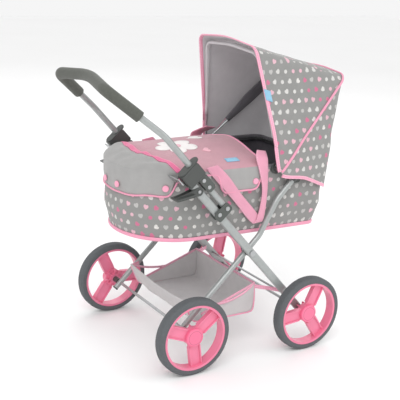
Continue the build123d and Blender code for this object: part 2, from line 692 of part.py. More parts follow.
save("apron", apron())
buttons = [apron_button(*place) for place in apron_button_places()]
save("apron_buttons", *[solid for button in buttons for solid in both_sides(button)])
left_and_right("carry_strap", carry_strap())
save("basket", basket())
pair("basket_side_straps", basket_side_strap())
ties = basket_ties()
save("basket_ties", *both_sides(ties[0]), *both_sides(ties[1]))
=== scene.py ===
import json
from math import cos, radians, sin

import bmesh
import bpy
import numpy as np
from mathutils import Matrix, Vector, noise
from mathutils.bvhtree import BVHTree


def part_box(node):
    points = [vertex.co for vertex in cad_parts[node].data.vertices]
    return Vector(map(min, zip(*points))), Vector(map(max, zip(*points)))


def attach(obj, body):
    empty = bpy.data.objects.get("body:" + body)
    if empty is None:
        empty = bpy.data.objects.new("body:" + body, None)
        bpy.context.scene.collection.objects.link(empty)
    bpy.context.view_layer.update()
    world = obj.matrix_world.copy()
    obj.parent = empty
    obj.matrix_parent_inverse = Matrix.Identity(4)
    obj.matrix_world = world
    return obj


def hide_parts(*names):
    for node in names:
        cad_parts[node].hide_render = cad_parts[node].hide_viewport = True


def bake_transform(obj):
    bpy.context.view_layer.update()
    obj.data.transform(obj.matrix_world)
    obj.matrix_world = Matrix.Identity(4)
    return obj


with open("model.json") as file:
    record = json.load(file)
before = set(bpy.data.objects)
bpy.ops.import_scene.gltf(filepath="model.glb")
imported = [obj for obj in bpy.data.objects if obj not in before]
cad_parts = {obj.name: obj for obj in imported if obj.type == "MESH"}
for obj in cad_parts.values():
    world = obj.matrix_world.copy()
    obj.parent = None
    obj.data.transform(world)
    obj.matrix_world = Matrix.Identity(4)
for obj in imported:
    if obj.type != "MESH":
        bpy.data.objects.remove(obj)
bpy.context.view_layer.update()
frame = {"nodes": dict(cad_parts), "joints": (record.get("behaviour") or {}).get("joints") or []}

# Lengths are in millimetres until a mesh is made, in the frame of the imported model.
MM = 0.001


def corners(node):
    low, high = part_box(node)
    return np.array(low) / MM, np.array(high) / MM


def joint_place(name):
    found = [j for j in frame["joints"] if j["name"] == name]
    return np.array(found[0]["pos_m"]) / MM


COT_LOW, COT_HIGH = corners("cot_shell")
COT_HALF = COT_HIGH[1]
NOSE_R, END_R, BILGE_Z = 110.0, 22.0, 284.0
APRON_LOW, APRON_HIGH = corners("apron")
APRON_RIM = COT_HIGH[2] + 1.6
BASKET_LOW, BASKET_HIGH = corners("basket")
HINGE = joint_place("hood_back")
CLOTH = 1.1


# ---------------- materials
def linear(code):
    """A colour from its usual hexadecimal code, as the shader wants it."""
    parts = [int(code[i:i + 2], 16) / 255 for i in (1, 3, 5)]
    return tuple(c / 12.92 if c <= 0.04045 else ((c + 0.055) / 1.055) ** 2.4 for c in parts) + (1.0,)


def placed(name, data):
    """A new object in the scene."""
    item = bpy.data.objects.new(name, data)
    bpy.context.scene.collection.objects.link(item)
    return item


class Nodes:
    """A short way to write a material's node tree."""

    def __init__(self, name, roughness=0.6, metallic=0.0, sheen=0.0, coat=0.0):
        self.material = bpy.data.materials.new(name)
        self.material.use_nodes = True
        self.tree = self.material.node_tree
        self.shader = self.tree.nodes["Principled BSDF"]
        self.shader.inputs["Roughness"].default_value = roughness
        self.shader.inputs["Metallic"].default_value = metallic
        self.shader.inputs["Sheen Weight"].default_value = sheen
        self.shader.inputs["Coat Weight"].default_value = coat

    def add(self, kind, inputs=None, **settings):
        node = self.tree.nodes.new(kind)
        for key, value in settings.items():
            setattr(node, key, value)
        for key, value in (inputs or {}).items():
            self.put(node.inputs[key], value)
        return node

    def put(self, socket, value):
        if isinstance(value, bpy.types.NodeSocket):
            self.tree.links.new(value, socket)
        else:
            socket.default_value = value

    def math(self, operation, a, b=0.0):
        return self.add("ShaderNodeMath", {0: a, 1: b}, operation=operation).outputs[0]

    def noise(self, vector, scale, detail=3.0, rough=0.5):
        inputs = {"Vector": vector, "Scale": scale, "Detail": detail, "Roughness": rough}
        return self.add("ShaderNodeTexNoise", inputs).outputs["Fac"]

    def wave(self, vector, scale, direction):
        inputs = {"Vector": vector, "Scale": scale, "Distortion": 0.4, "Detail": 1.0}
        return self.add("ShaderNodeTexWave", inputs, bands_direction=direction).outputs["Fac"]

    def mix(self, factor, a, b, blend="MIX"):
        node = self.add("ShaderNodeMix", data_type="RGBA", blend_type=blend)
        for socket, value in ((node.inputs[0], factor), (node.inputs[6], a), (node.inputs[7], b)):
            self.put(socket, value)
        return node.outputs[2]

    def between(self, value, low, high):
        """A map of 0..1 onto low..high."""
        inputs = {"Value": value, "To Min": low, "To Max": high}
        return self.add("ShaderNodeMapRange", inputs).outputs[0]

    def place(self, kind):
        return self.add("ShaderNodeTexCoord").outputs[kind]

    def bump(self, height, strength, distance):
        inputs = {"Height": height, "Strength": strength, "Distance": distance}
        self.put(self.shader.inputs["Normal"], self.add("ShaderNodeBump", inputs).outputs[0])

    def colour(self, value):
        self.put(self.shader.inputs["Base Color"], value)

    def mottle(self, factor, code, darker, lighter):
        self.colour(self.mix(factor, *shades(code, darker, lighter)))

    def rough(self, value):
        self.put(self.shader.inputs["Roughness"], value)


def shades(code, darker=0.86, lighter=1.1):
    """A darker and a lighter version of a colour."""
    base = linear(code)
    return [tuple(min(1.0, c * k) for c in base[:3]) + (1.0,) for k in (darker, lighter)]


def woven(n, code, pitch=0.9, strength=0.35):
    """Plain weave: mottled yarn colour, crossing threads and a soft uneven surface."""
    where = n.place("Object")
    dark, light = shades(code)
    threads = [n.wave(where, 0.314 / (pitch * MM), axis) for axis in "XYZ"]
    weave = n.math("MULTIPLY", n.math("MAXIMUM", threads[0], threads[1]), threads[2])
    cloudy = n.noise(where, 60.0, 4.0)
    yarn = n.noise(where, 900.0, 2.0)
    mottled = n.math("ADD", n.math("MULTIPLY", cloudy, 0.7), n.math("MULTIPLY", yarn, 0.3))
    height = n.math("ADD", weave, n.math("MULTIPLY", n.noise(where, 140.0, 3.0), 1.6))
    n.bump(height, strength, 0.0006)
    n.rough(n.between(weave, 0.95, 0.78))
    return n.mix(n.between(mottled, 0.0, 1.0), dark, light)


def fabric(name, code, painted_glow=0.0, **how):
    """Plain cloth. Its emission is painted light: a faint self-lit tint that stands for daylight shining
    through a thin cloth.
    """
    n = Nodes(name, sheen=0.25)
    n.colour(woven(n, code, **how))
    n.shader.inputs["Emission Color"].default_value = linear(code)
    n.shader.inputs["Emission Strength"].default_value = painted_glow
    return n.material


def stitched(name, code, thread, width):
    """Binding tape or webbing of the given width, with a row of stitches along each edge."""
    pitch, stitch_share, row_inset, half_thread = 3.4, 0.62, 1.5, 0.4
    n = Nodes(name, sheen=0.3)
    base = woven(n, code, pitch=0.7, strength=0.3)
    split = n.add("ShaderNodeSeparateXYZ", {0: n.place("UV")})
    along = n.math("FRACT", n.math("DIVIDE", split.outputs[0], pitch))
    from_edge = n.math("PINGPONG", split.outputs[1], width / 2)
    on_row = n.math("LESS_THAN", n.math("ABSOLUTE", n.math("SUBTRACT", from_edge, row_inset)), half_thread)
    stitch = n.math("MULTIPLY", on_row, n.math("LESS_THAN", along, stitch_share))
    n.colour(n.mix(stitch, base, linear(thread)))
    return n.material


def printed(name, code):
    """Grey cloth with a print of small hearts and dots in white, pale pink and magenta."""
    n = Nodes(name, sheen=0.2)
    base = woven(n, code)
    step, span = 18.5, 4.1  # the print's repeat in millimetres, and a repeat's size in motif units
    split = n.add("ShaderNodeSeparateXYZ", {0: n.place("UV")})
    u, v = [n.math("DIVIDE", split.outputs[k], step) for k in (0, 1)]
    row = n.math("FLOOR", v)
    u = n.math("ADD", u, n.math("MULTIPLY", n.math("FLOORED_MODULO", row, 2.0), 0.5))
    cell = n.add("ShaderNodeCombineXYZ", {0: n.math("FLOOR", u), 1: row, 2: 0.0}).outputs[0]
    random = n.add("ShaderNodeTexWhiteNoise", {"Vector": cell}, noise_dimensions="3D")
    pick = random.outputs["Value"]
    tint = n.add("ShaderNodeSeparateColor", {0: random.outputs["Color"]})
    turn = n.math("MULTIPLY", n.math("SUBTRACT", tint.outputs[0], 0.5), 2.2)
    x = n.math("MULTIPLY", n.math("SUBTRACT", n.math("FRACT", u), 0.5), step / span)
    y = n.math("MULTIPLY", n.math("SUBTRACT", n.math("FRACT", v), 0.5), step / span)
    c, s = n.math("COSINE", turn), n.math("SINE", turn)
    px = n.math("SUBTRACT", n.math("MULTIPLY", x, c), n.math("MULTIPLY", y, s))
    py = n.math("ADD", n.math("MULTIPLY", x, s), n.math("MULTIPLY", y, c))
    xx, yy = n.math("MULTIPLY", px, px), n.math("MULTIPLY", py, py)
    ring = n.math("SUBTRACT", n.math("ADD", xx, yy), 1.0)
    cubed = n.math("MULTIPLY", n.math("MULTIPLY", ring, ring), ring)
    lobes = n.math("MULTIPLY", xx, n.math("MULTIPLY", yy, py))
    heart = n.math("LESS_THAN", n.math("SUBTRACT", cubed, lobes), 0.0)
    dot = n.math("LESS_THAN", n.math("ADD", xx, yy), 0.8)
    shape = n.math("GREATER_THAN", tint.outputs[1], 0.72)
    mask = n.mix(shape, heart, dot)
    ramp = n.add("ShaderNodeValToRGB", {0: pick})
    ramp.color_ramp.interpolation = "CONSTANT"
    steps = ((0.0, "#DEDCD9"), (0.26, "#C3C1BF"), (0.55, "#EDB9C8"), (0.77, "#D8628F"), (0.9, "#E8E5E1"))
    while len(ramp.color_ramp.elements) < len(steps):
        ramp.color_ramp.elements.new(0.5)
    for element, (place, tone) in zip(ramp.color_ramp.elements, steps):
        element.position = place
        element.color = linear(tone)
    faded = n.math("MULTIPLY", mask, n.between(n.noise(n.place("Object"), 300.0), 0.5, 1.0))
    n.colour(n.mix(faded, base, ramp.outputs[0]))
    return n.material


def plastic(name, code, roughness, coat=0.0):
    """Moulded plastic: fine texture, faint flow marks and rubbed, lighter patches."""
    n = Nodes(name, roughness=roughness, coat=coat)
    where = n.place("Object")
    n.mottle(n.noise(where, 35.0, 3.0), code, 0.9, 1.08)
    n.rough(n.between(n.noise(where, 90.0, 4.0), roughness - 0.08, roughness + 0.12))
    n.bump(n.noise(where, 1800.0, 2.0), 0.25, 0.0002)
    return n.material


def enamel(name, code):
    """Silver-grey painted tube with orange peel and small scuffs."""
    n = Nodes(name, roughness=0.32, metallic=0.35, coat=0.3)
    where = n.place("Object")
    scuffs = n.between(n.noise(where, 160.0, 6.0, 0.7), -1.2, 1.6)
    n.mottle(n.math("MAXIMUM", scuffs, 0.0), code, 0.92, 1.06)
    n.rough(n.between(n.noise(where, 70.0, 5.0), 0.24, 0.46))
    n.bump(n.noise(where, 700.0, 1.0), 0.12, 0.0003)
    return n.material


def steel(name):
    """Zinc-plated steel with faint drawing lines."""
    n = Nodes(name, roughness=0.3, metallic=1.0)
    where = n.place("Object")
    stretched = n.add("ShaderNodeMapping", {"Vector": where, "Scale": (1.0, 0.06, 1.0)}).outputs[0]
    lines = n.noise(stretched, 1400.0, 3.0)
    n.mottle(n.noise(where, 120.0, 4.0), "#B9BBBC", 0.8, 1.05)
    n.rough(n.between(lines, 0.2, 0.42))
    n.bump(lines, 0.1, 0.0001)
    return n.material


def foam(name, code):
    """Closed-cell foam with small pores."""
    n = Nodes(name, roughness=0.85, sheen=0.15)
    where = n.place("Object")
    pores = n.add("ShaderNodeTexVoronoi", {"Vector": where, "Scale": 900.0}).outputs["Distance"]
    n.mottle(n.noise(where, 240.0, 4.0), code, 0.75, 1.2)
    n.rough(n.between(pores, 0.92, 0.75))
    n.bump(pores, 0.35, 0.0005)
    return n.material


def about_axle(n, centre):
    """A place measured from an axle's middle: the vector, its three parts, and how far off the axle."""
    minus = tuple(-c * MM for c in centre)
    where = n.add("ShaderNodeMapping", {"Vector": n.place("Object"), "Location": minus}).outputs[0]
    x, y, z = n.add("ShaderNodeSeparateXYZ", {0: where}).outputs
    radius = n.math("SQRT", n.math("ADD", n.math("MULTIPLY", x, x), n.math("MULTIPLY", z, z)))
    return where, x, y, z, radius


def tyre(name, code, centre):
    """Foam rubber tyre: matt, with a fine block tread that fades out on the side walls."""
    n = Nodes(name, roughness=0.8)
    where, x, y, z, radius = about_axle(n, centre)
    angle = n.math("ARCTAN2", z, x)
    around = n.math("SINE", n.math("MULTIPLY", angle, 110.0))
    across = n.math("SINE", n.math("MULTIPLY", y, 1500.0))
    blocks = n.math("MULTIPLY", around, across)
    tread = n.math("GREATER_THAN", radius, 0.0735)
    n.mottle(n.noise(where, 180.0, 5.0), code, 0.82, 1.12)
    height = n.math("ADD", n.math("MULTIPLY", blocks, tread), n.noise(where, 1200.0, 2.0))
    n.bump(height, 0.4, 0.0006)
    n.rough(n.between(n.noise(where, 60.0), 0.7, 0.92))
    return n.material


def hub_cap(name, code, centre):
    """Glossy moulded cap with a raised ring near its edge; the ring is painted darker, as painted shade."""
    n = Nodes(name, roughness=0.3, coat=0.3)
    where, *_, radius = about_axle(n, centre)
    ring = n.math("LESS_THAN", n.math("ABSOLUTE", n.math("SUBTRACT", radius, 0.0133)), 0.0008)
    # The ring gets the darker colour: painted shade along the ring, not a different plastic.
    dark, light = shades(code, 0.82, 1.05)
    n.colour(n.mix(ring, light, dark))
    n.rough(n.between(n.noise(where, 200.0), 0.24, 0.42))
    n.bump(n.math("SUBTRACT", n.noise(where, 900.0), ring), 0.4, 0.0005)
    return n.material


PRINT = printed("print_cloth", "#8E8E8C")
GREY = fabric("grey_cloth", "#A3A2A1")
# Hood lining, also used on the front bow sleeve: partly the cloth's own pale grey, partly painted light,
# since the colour is set lighter and the cloth glows faintly for daylight through the thin hood.
LINING = fabric("hood_lining", "#BEBCBE", painted_glow=0.11)
SLEEVE = fabric("bow_sleeve_cloth", "#67656A", pitch=1.2)
INNER = fabric("cot_lining", "#5B585F")
BEDDING = fabric("mattress_cloth", "#504C52", pitch=1.1)
ROSE = fabric("rose_cloth", "#C4949F", pitch=0.8)
WHITE = fabric("applique_cloth", "#F4F0EE", pitch=0.6)
BLUSH = fabric("applique_pink_cloth", "#F0B9C6", pitch=0.6)
# Basket cloth: partly the mesh's own light grey, partly painted light, since the colour is set lighter and
# the cloth glows faintly for daylight through the thin mesh.
NET = fabric("basket_cloth", "#BDBABA", painted_glow=0.16, pitch=1.3)
BINDING = stitched("binding_tape", "#F0A2BC", "#FBD9E4", 7.5)
EDGING = stitched("edging_tape", "#F0A2BC", "#FBD9E4", 4.6)
PIPING = fabric("piping_cord", "#EFA0BA", pitch=0.7)
MAGENTA = stitched("magenta_band", "#E66F9B", "#F4A9C2", 12.0)
WEBBING = stitched("strap_webbing", "#E39EB5", "#F6CBD9", 24.0)
TAG = fabric("tag_cloth", "#8FC4E0", pitch=0.5)


# ---------------- mesh helpers
def unit(v):
    return v / np.maximum(np.linalg.norm(v, axis=-1, keepdims=True), 1e-9)


def new_piece(name, points, faces, uvs, materials, slots=None, weld=0.0):
    """A mesh object from points in millimetres, faces, and each face's corner UVs."""
    mesh = bpy.data.meshes.new(name)
    mesh.from_pydata((np.asarray(points) * MM).tolist(), [], faces)
    layer = mesh.uv_layers.new(name="cloth")
    layer.data.foreach_set("uv", np.concatenate([np.asarray(f, float).ravel() for f in uvs]))
    for material in materials:
        mesh.materials.append(material)
    if slots is not None:
        mesh.polygons.foreach_set("material_index", slots)
    work = bmesh.new()
    work.from_mesh(mesh)
    if weld:
        bmesh.ops.remove_doubles(work, verts=work.verts, dist=weld * MM)
    bmesh.ops.recalc_face_normals(work, faces=work.faces)
    work.to_mesh(mesh)
    work.free()
    mesh.polygons.foreach_set("use_smooth", [True] * len(mesh.polygons))
    return placed(name, mesh)


def normals_of(grid, wrap=False, away_from=None):
    """Unit normals of a grid of points, pointing away from a place."""
    if wrap:
        along = np.roll(grid, -1, axis=1) - np.roll(grid, 1, axis=1)
    else:
        along = np.gradient(grid, axis=1)
    n = unit(np.cross(along, np.gradient(grid, axis=0)))
    if np.sum(n * (grid - np.asarray(away_from, float))) < 0:
        n = -n
    return n


def rumple(grid, normals, size, depth, mask=1.0, seed=0.0):
    """Small soft dents and folds, the same on every run."""
    flat = grid.reshape(-1, 3)
    at = [noise.noise(Vector(p / size) + Vector((seed, 2 * seed, -seed))) for p in flat]
    return grid + normals * (np.array(at).reshape(grid.shape[:2] + (1,)) * depth * mask)


def run_lengths(line):
    """Distance along a line of points, from its start."""
    return np.concatenate([[0.0], np.cumsum(np.linalg.norm(np.diff(line, axis=0), axis=1))])


def box_uv(points, normal):
    """Flat cloth coordinates, in millimetres, for the way a panel faces."""
    across = np.abs(normal)
    if across[1] > 0.55:
        return points[:, [0, 2]]
    if across[2] > across[0]:
        return points[:, [1, 0]]
    return points[:, [1, 2]]


def fixed(piece, body):
    """Fix a piece to a body."""
    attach(piece, body)
    return piece


def cell(i, j, cols, start=0):
    """The corners of a grid's cell, as places in its list of points. The last column meets the first."""
    k = (j + 1) % cols
    return [start + a for a in (i * cols + j, i * cols + k, (i + 1) * cols + k, (i + 1) * cols + j)]


def shell(name, outer, inner, materials, wrap=False, cap=False, uv=None):
    """A thin closed piece between an outer and an inner grid of points, rows by columns.
    materials holds the outside's and, if it differs, the inside's. cap closes the last row."""
    rows, cols = outer.shape[:2]
    count = rows * cols
    spans = cols if wrap else cols - 1
    points = np.concatenate([outer.reshape(-1, 3), inner.reshape(-1, 3)])
    faces, uvs, slots = [], [], []
    inside = len(materials) - 1

    def add(face, flat, slot):
        faces.append(face)
        uvs.append(flat)
        slots.append(slot)

    for layer in (0, 1):
        for i in range(rows - 1):
            for j in range(spans):
                face = cell(i, j, cols, layer * count)
                p = points[face]
                if uv is None:
                    flat = box_uv(p, unit(np.cross(p[1] - p[0], p[3] - p[0])))
                else:
                    flat = [uv(i, j), uv(i, j + 1), uv(i + 1, j + 1), uv(i + 1, j)]
                add(face, flat, inside if layer else 0)
    edges = [[(0, j) for j in range(cols)]]
    if not cap:
        edges.append([(rows - 1, j) for j in range(cols)])
    if not wrap:
        edges += [[(i, 0) for i in range(rows)], [(i, cols - 1) for i in range(rows)]]
    for edge in edges:
        for (a, b), (c, d) in zip(edge, edge[1:] + edge[:1] if wrap else edge[1:]):
            first, second = a * cols + b, c * cols + d
            face = [first, second, count + second, count + first]
            add(face, points[face][:, [0, 2]], 0)
    if cap:
        for layer in (0, 1):
            last = [layer * count + (rows - 1) * cols + j for j in range(cols)]
            add(last, points[last][:, :2], inside)
    return new_piece(name, points, faces, uvs, materials, slots)


def sweep(name, line, profile, material, side, wrap=False, spread=1.0):
    """Carry a closed profile of (side, up) offsets along a line. side gives, at each point, the
    direction of the profile's first axis; its second is square to that and to the line. spread
    widens or narrows the profile along its first axis."""
    line = np.asarray(line, float)
    if wrap:
        along = unit(np.roll(line, -1, axis=0) - np.roll(line, 1, axis=0))
    else:
        along = unit(np.gradient(line, axis=0))
    side = np.broadcast_to(np.asarray(side, float), line.shape)
    side = unit(side - along * np.sum(side * along, axis=1, keepdims=True))
    up = np.cross(along, side)
    ring = np.asarray(profile, float)
    count, size = len(line), len(ring)
    wide = side * np.broadcast_to(spread, len(line))[:, None]
    points = line[:, None, :] + wide[:, None, :] * ring[None, :, :1] + up[:, None, :] * ring[None, :, 1:]
    points = points.reshape(-1, 3)
    lengths = run_lengths(np.concatenate([line, line[:1]]))
    round_it = run_lengths(np.concatenate([ring, ring[:1]]))
    faces, uvs = [], []
    for i in range(count if wrap else count - 1):
        k = (i + 1) % count
        for j in range(size):
            m = (j + 1) % size
            faces.append([i * size + j, i * size + m, k * size + m, k * size + j])
            a, b, c, d = lengths[i], lengths[i + 1], round_it[j], round_it[j + 1]
            uvs.append([(a, c), (a, d), (b, d), (b, c)])
    if not wrap:
        for i in (0, count - 1):
            faces.append([i * size + j for j in range(size)])
            uvs.append(ring)
    return new_piece(name, points, faces, uvs, [material])


def ribbon(name, edges, thick, material, step=4.0):
    """Webbing between two edges. Each item of edges is a point of one and then of the other."""
    line = smooth_line(edges, step)
    first, last = line[:, :3], line[:, 3:]
    t = np.linspace(0, 1, 7)[None, :, None]
    grid = first[:, None] * (1 - t) + last[:, None] * t
    across = last - first
    out = unit(np.cross(np.gradient((first + last) / 2, axis=0), across))[:, None]
    lengths = run_lengths((first + last) / 2)
    width = float(np.median(np.linalg.norm(across, axis=1)))
    return shell(
        name, grid + out * thick / 2, grid - out * thick / 2, [material],
        uv=lambda i, j: (lengths[i], j * width / 6),
    )


def laid_on(under, points, lift):
    """Move points down or up onto a piece's top, lift millimetres above it."""
    tree = BVHTree.FromObject(under, bpy.context.evaluated_depsgraph_get())
    out = np.array(points, float)
    for p in out.reshape(-1, 3):
        hit = tree.ray_cast(Vector((p[0], p[1], 600.0)) * MM, Vector((0, 0, -1)))[0]
        if hit is not None:
            p[2] = hit.z / MM + lift
    return out


def oval(wide, tall, count=10):
    return [(wide * cos(t), tall * sin(t)) for t in np.linspace(0, 2 * np.pi, count, endpoint=False)]


def tape(wide, thick):
    """A flat tape's section, its corners eased."""
    w, t, e = wide / 2, thick / 2, min(thick * 0.35, 0.6)
    return [(-w, -t + e), (-w + e, -t), (0, -t), (w - e, -t), (w, -t + e),
            (w, t - e), (w - e, t), (0, t), (-w + e, t), (-w, t - e)]


def smooth_line(points, step=3.0):
    """A soft curve through given points, by Catmull-Rom."""
    p = np.asarray(points, float)
    p = np.concatenate([2 * p[:1] - p[1:2], p, 2 * p[-1:] - p[-2:-1]])
    out = []
    for i in range(1, len(p) - 2):
        a, b, c, d = p[i - 1:i + 3]
        parts = max(2, int(np.linalg.norm(c - b) / step))
        for t in np.linspace(0, 1, parts, endpoint=False):
            out.append(0.5 * (2 * b + (c - a) * t + (2 * a - 5 * b + 4 * c - d) * t ** 2
                              + (3 * b - a - 3 * c + d) * t ** 3))
    out.append(p[-2])
    return np.array(out)


def step_between(value, low, high):
    t = np.clip((value - low) / (high - low), 0, 1)
    return t * t * (3 - 2 * t)


def settle(piece, held, pressure, most, ease=None):
    """Swell a stuffed piece by cloth simulation. Points for which held is true stay put, and ease,
    if given, says how far from 0 to 1 each other point may follow the simulation."""
    mesh = piece.data
    before = np.array([v.co for v in mesh.vertices])
    pinned = [i for i, p in enumerate(before / MM) if held(p)]
    group = piece.vertex_groups.new(name="held")
    group.add(pinned, 1.0, "REPLACE")
    cloth = piece.modifiers.new("Cloth", "CLOTH")
    cloth.settings.quality = 6
    cloth.settings.vertex_group_mass = "held"
    cloth.settings.use_pressure = True
    cloth.settings.uniform_pressure_force = pressure
    cloth.settings.effector_weights.gravity = 0
    scene = bpy.context.scene
    for f in range(1, 21):
        scene.frame_set(f)
    shape = piece.evaluated_get(bpy.context.evaluated_depsgraph_get()).data
    move = np.array([v.co for v in shape.vertices]) - before
    size = np.linalg.norm(move, axis=1, keepdims=True)
    move *= np.minimum(1.0, most * MM / np.maximum(size, 1e-9))
    if ease is not None:
        move *= np.array([[ease(p)] for p in before / MM])
    piece.modifiers.remove(cloth)
    piece.vertex_groups.remove(group)
    scene.frame_set(1)
    mesh.vertices.foreach_set("co", (before + move).ravel())
    mesh.update()


# ---------------- carrycot
def outline(low_x, high_x, half, nose_r, end_r):
    """Closed plan outline from the middle of the hood end, over the left side to the nose and back."""
    def run(a, b, count):
        return [a + (b - a) * t for t in np.linspace(0, 1, count, endpoint=False)]

    def bend(centre, r, start, stop, count):
        turns = np.radians(np.linspace(start, stop, count, endpoint=False))
        return [np.array([centre[0] + r * cos(t), centre[1] + r * sin(t)]) for t in turns]

    def at(x, y):
        return np.array([x, y], float)

    half_way = run(at(high_x, 0), at(high_x, half - end_r), 12)
    half_way += bend((high_x - end_r, half - end_r), end_r, 0, 90, 7)
    half_way += run(at(high_x - end_r, half), at(low_x + nose_r, half), 40)
    half_way += bend((low_x + nose_r, half - nose_r), nose_r, 90, 180, 22)
    half_way += run(at(low_x, half - nose_r), at(low_x, 0), 5)
    back = [p * np.array([1, -1]) for p in reversed(half_way[1:])]
    return np.array(half_way + [at(low_x, 0)] + back)


def cot_ring(z, inset=0.0):
    low = max(0.0, (BILGE_Z - z) / (BILGE_Z - COT_LOW[2]))
    ring = outline(
        COT_LOW[0] + 8 * low + inset, COT_HIGH[0] - 12 * low - inset,
        COT_HALF - 6 * low - inset, NOSE_R - inset, END_R - inset * 0.8,
    )
    return np.column_stack([ring, np.full(len(ring), z)])


def build_cot():
    heights = [372, 368, 358, 346, 334, 322, 310, 298, 290, 284, 277, 270, 263, 256, 250, 245, 241.6]
    rounding = [0.2, 0, 0, 0, 0, 0, 0, 0, 0, 0.1, 0.2, 0.3, 0.5, 0.8, 1.4, 2.6, 5.0]
    middle = (COT_LOW + COT_HIGH) / 2
    outer = np.array([cot_ring(z, inset) for z, inset in zip(heights, rounding)])
    n = normals_of(outer, wrap=True, away_from=middle)
    fade = step_between(outer[..., 2:], 372, 350) * step_between(outer[..., 2:], 243, 262)
    outer = rumple(outer, n, 46.0, 2.2, fade, 3.0) - n * fade * 0.9
    inner = outer - n * 2.6
    inner[-1, :, 2] = COT_LOW[2] + 2.6
    lengths = run_lengths(np.concatenate([outer[4], outer[4][:1]]))
    cover = shell(
        "cot_cover", outer, inner, [PRINT, INNER], wrap=True, cap=True,
        uv=lambda i, j: (lengths[j], heights[i]),
    )
    fixed(cover, "rear_frame")
    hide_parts("cot_shell")
    ring = cot_ring(243.4, 0.6)
    out = unit(ring - np.array([middle[0], 0, 243.4]))
    base = sweep("cot_base_binding", ring, oval(1.6, 3.6, 12), PIPING, out, wrap=True)
    rim = cot_ring(371.0, 1.2)
    out = unit(rim - [middle[0], 0, 371.0])
    edge = sweep("cot_rim_binding", rim, oval(2.0, 3.2, 12), SLEEVE, out, wrap=True)
    fixed(base, "rear_frame")
    fixed(edge, "rear_frame")


def build_mattress():
    """A thin stuffed pad with a rounded edge, swollen a little between its seams."""
    low, high = corners("mattress")
    middle = (low + high) / 2
    heights = [(low[2] + 0.5, 0.0), (low[2] + 0.3, 0.6), (low[2] + 0.3, 0.95), (low[2] + 2.5, 0.99),
               (middle[2] - 3, 1.0), (middle[2] + 3, 1.0), (high[2] - 5, 0.995), (high[2] - 2.6, 0.975)]
    heights += [(high[2] - 2.2, k) for k in (0.93, 0.86, 0.76, 0.64, 0.5, 0.36, 0.22, 0.1)]
    plan = outline(low[0], high[0], high[1], 99.0, 14.0)
    rings = []
    for z, share in heights:
        flat = middle[:2] + (plan - middle[:2]) * max(share, 0.03)
        rings.append(np.column_stack([flat, np.full(len(plan), z)]))
    rings = np.array(rings)
    rows, cols = rings.shape[:2]
    faces = [cell(i, j, cols) for i in range(rows - 1) for j in range(cols)]
    faces += [list(range(cols)), [(rows - 1) * cols + j for j in range(cols)]]
    points = rings.reshape(-1, 3)
    pad = new_piece("mattress_pad", points, faces, [points[f][:, :2] for f in faces], [BEDDING])

    def held(p):
        at_seam = abs(p[2] - middle[2]) < 3.5 or abs(p[0] - 20) < 4
        return p[2] < low[2] + 4 or at_seam

    settle(pad, held, 4.0, 4.0)
    fixed(pad, "rear_frame")
    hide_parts("mattress")


# ---------------- hood
FRONT_RIB = (103.0, (134.5, 8.0), (128.0, 48.0), (97.0, 231.0), 10.0, 20.0)
REAR_RIB = (43.0, (134.5, 8.0), (133.0, 48.0), (93.0, 240.0), 10.0, 30.0)
HEM_RIB = (-22.5, (135.5, 8.0), (135.5, 56.0), (120.5, 141.0), 2.0, 24.0)
CROWN_R = 300.0


def eased(points, radii, on_run, on_bend):
    """A line with rounded corners: on_run points on each straight, on_bend on each corner."""
    p = [np.array(q, float) for q in points]
    starts, ends, bends = [p[0]], [], []
    for a, b, c, r in zip(p, p[1:], p[2:], radii):
        back, on = unit(a - b), unit(c - b)
        half = np.arccos(np.clip(np.dot(back, on), -1, 1)) / 2
        cut = r / np.tan(half)
        middle = b + unit(back + on) * (r / np.sin(half))
        first, last = b + back * cut, b + on * cut
        t0, t1 = [np.arctan2(*(q - middle)[::-1]) for q in (first, last)]
        turn = (t1 - t0 + np.pi) % (2 * np.pi) - np.pi
        ends.append(first)
        starts.append(last)
        bends.append([middle + r * np.array([cos(t0 + turn * k), sin(t0 + turn * k)])
                      for k in np.linspace(0, 1, on_bend + 1)[:-1]])
    ends.append(p[-1])
    out = []
    for i, (a, b) in enumerate(zip(starts, ends)):
        out += [a + (b - a) * k for k in np.linspace(0, 1, on_run, endpoint=False)]
        if i < len(bends):
            out += bends[i]
    return np.array(out + [p[-1]])


def in_bow_plane(flat, angle):
    """Points (across, off the hinge) in a plane through the hood's hinge, as points in space."""
    a = radians(angle)
    return np.column_stack([HINGE[0] + flat[:, 1] * cos(a), flat[:, 0], HINGE[2] + flat[:, 1] * sin(a)])


def over_the_top(side, rise):
    """One side's points, the middle of the top, and the other side's points."""
    return side + [(0.0, side[-1][1] + rise)] + [(-a, b) for a, b in reversed(side)]


def rib_line(rib):
    """A hood rib's line in space, from the right foot over the top to the left foot."""
    angle, foot, knee, corner, rise, radius = rib
    side = [(-a, b) for a, b in (foot, knee, corner)]
    flat = eased(over_the_top(side, rise), [90.0, radius, CROWN_R, radius, 90.0], 8, 6)
    return in_bow_plane(flat, angle)


def cloth_between(first, last, rows, sag, seed):
    """A panel stretched between two ribs: the middle sinks in a little, with soft pulls."""
    a, b = rib_line(first), rib_line(last)
    t = np.linspace(0, 1, rows)[:, None, None]
    grid = a[None] * (1 - t) + b[None] * t
    near = np.linalg.norm((grid - HINGE)[..., [0, 2]], axis=-1, keepdims=True)
    grid = grid + np.array([-2.0, 0, -13.0]) * (1 - step_between(near, 6, 74))
    n = normals_of(grid, away_from=HINGE + np.array([10.0, 0, 60.0]))
    reach = np.linalg.norm((grid - HINGE)[..., [0, 2]], axis=-1, keepdims=True)
    span = (4 * t * (1 - t)) * step_between(reach, 62, 125) * step_between(grid[..., 2:], 386, 425)
    grid = grid - n * span * sag
    return rumple(grid, n, 52.0, 3.0, span, seed), n


